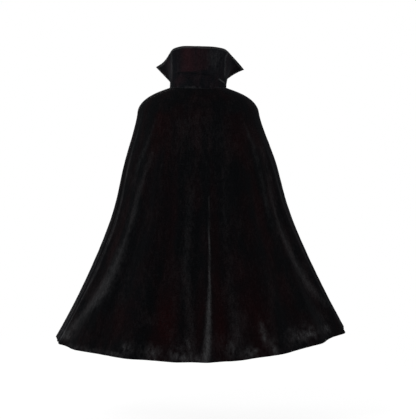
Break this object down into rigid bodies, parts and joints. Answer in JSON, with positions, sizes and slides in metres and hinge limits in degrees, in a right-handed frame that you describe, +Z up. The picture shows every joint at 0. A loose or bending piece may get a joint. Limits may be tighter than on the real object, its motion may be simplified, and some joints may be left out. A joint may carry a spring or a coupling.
{
  "type": "stand-collar cape",
  "caption": "Long black velvet costume cape with a stiffened stand collar that opens into pointed wings, worn from the shoulders and hooked at the throat.",
  "frame": {"origin": "middle of the neck opening, level with the neck seam at the centre back", "axes": "+Z up, +Y towards the back of the cape, +X towards the wearer's left; the cape hangs as it does on a body"},
  "size_m": [0.9471, 0.5434, 0.9892],
  "materials": {
    "velvet": "black crushed velvet, soft pile",
    "velvet_facing": "black velvet, pile inwards",
    "buckram": "stiff open-weave buckram",
    "tape": "black cotton twill tape",
    "label": "plain woven satin, blank",
    "hook_metal": "black enamelled wire"
  },
  "bodies": {
    "cape": {"back_panel": "velvet", "collar_outer": "velvet", "collar_stiffener": "buckram", "collar_inner": "velvet", "neck_tape": "tape", "throat_hook": "hook_metal", "throat_eye": "hook_metal"},
    "front_left": {"front_panel_left": "velvet", "front_facing_left": "velvet_facing"},
    "front_right": {"front_panel_right": "velvet", "front_facing_right": "velvet_facing"},
    "loop": {"hanging_loop": "tape"},
    "label": {"care_label": "label"}
  },
  "joints": [
    {"name": "front_left_swing", "type": "hinge", "parent": "cape", "child": "front_left", "pos_m": [0.20327, 0, -0.069], "axis": [-0.34, 0, 0.9404], "range_deg": [0, 55]},
    {"name": "front_right_swing", "type": "hinge", "parent": "cape", "child": "front_right", "pos_m": [-0.20435, 0, -0.069], "axis": [-0.3688, 0, -0.9295], "range_deg": [0, 55]},
    {"name": "loop_flip", "type": "hinge", "parent": "cape", "child": "loop", "pos_m": [-0.00002, 0.07497, -0.0095], "axis": [-1, 0, 0], "range_deg": [0, 150]},
    {"name": "label_flip", "type": "hinge", "parent": "cape", "child": "label", "pos_m": [0.06064, 0.05369, -0.00432], "axis": [-0.7575, 0.6528, 0], "range_deg": [0, 150]}
  ]
}
